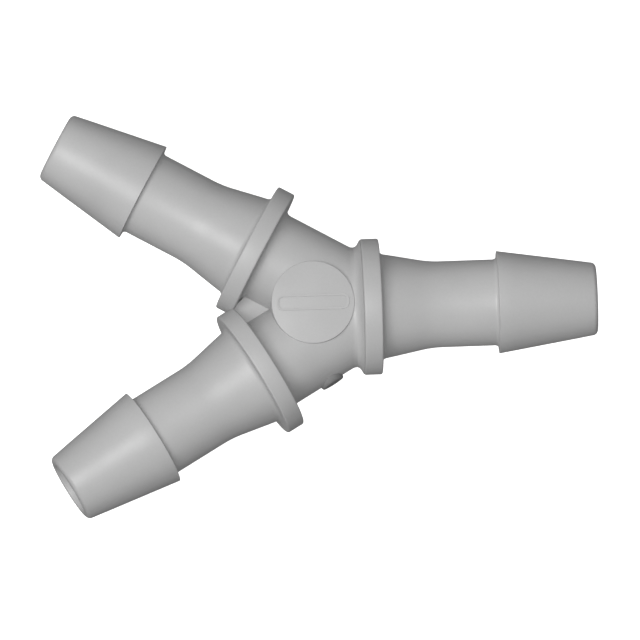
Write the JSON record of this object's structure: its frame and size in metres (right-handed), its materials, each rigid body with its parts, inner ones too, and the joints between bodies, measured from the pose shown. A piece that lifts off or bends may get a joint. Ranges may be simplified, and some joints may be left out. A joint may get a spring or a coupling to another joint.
{
  "type": "barbed y connector",
  "caption": "Moulded plastic wye for soft irrigation hose: equal barbed arms on one hub, each with a stop collar, a flared stem and a square-backed barb.",
  "frame": {"origin": "centre of the outer box, which lies on the plane of the three bores and on the single arm's axis", "axes": "+X out along the single arm, +Y towards the upper branch arm, +Z out of the marking pad"},
  "size_m": [0.0824, 0.0606, 0.0204],
  "materials": {
    "grey_polypropylene": "satin, as moulded"
  },
  "bodies": {
    "root": {"hub_body": "grey_polypropylene", "marking_pad": "grey_polypropylene", "crotch_web": "grey_polypropylene", "gate_stub": "grey_polypropylene", "single_arm_collar": "grey_polypropylene", "single_arm_stem": "grey_polypropylene", "single_arm_barb": "grey_polypropylene", "upper_arm_collar": "grey_polypropylene", "upper_arm_stem": "grey_polypropylene", "upper_arm_barb": "grey_polypropylene", "lower_arm_collar": "grey_polypropylene", "lower_arm_stem": "grey_polypropylene", "lower_arm_barb": "grey_polypropylene"}
  },
  "joints": []
}
